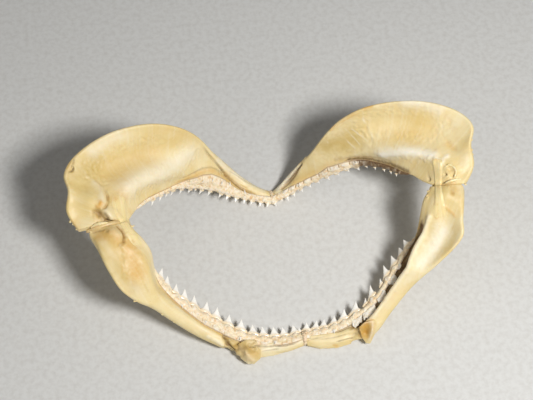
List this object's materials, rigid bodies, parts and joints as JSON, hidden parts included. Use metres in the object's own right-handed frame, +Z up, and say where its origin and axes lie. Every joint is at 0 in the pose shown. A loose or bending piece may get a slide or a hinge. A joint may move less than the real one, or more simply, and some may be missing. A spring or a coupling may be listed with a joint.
{
  "type": "shark jaw",
  "caption": "Dried, spread jaw of a requiem shark with a wide open gape, broad upper plates, toothed gum bands and strap ligaments at the joints, lying on its front.",
  "frame": {"origin": "on the floor under the middle of the jaw's box", "axes": "+X across the jaw, towards the joint at the picture's right; +Y from the lower jaw to the upper jaw; +Z up from the floor, towards the inner faces of the jaw"},
  "size_m": [0.3, 0.1639, 0.0985],
  "materials": {
    "cartilage": "dried calcified cartilage, cream to pale yellow, satin with a soft gloss",
    "gum": "dried gum with white enamel teeth, cream to pale pink",
    "ligament": "dried fibrous ligament, amber, slightly translucent"
  },
  "bodies": {
    "root": {"palatoquadrate_left": "cartilage", "palatoquadrate_right": "cartilage", "meckel_left": "cartilage", "meckel_right": "cartilage", "gum_upper_left": "gum", "gum_upper_right": "gum", "gum_lower_left": "gum", "gum_lower_right": "gum", "ligament_left": "ligament", "ligament_right": "ligament", "symphysis_upper": "ligament", "symphysis_lower": "ligament"}
  },
  "joints": []
}
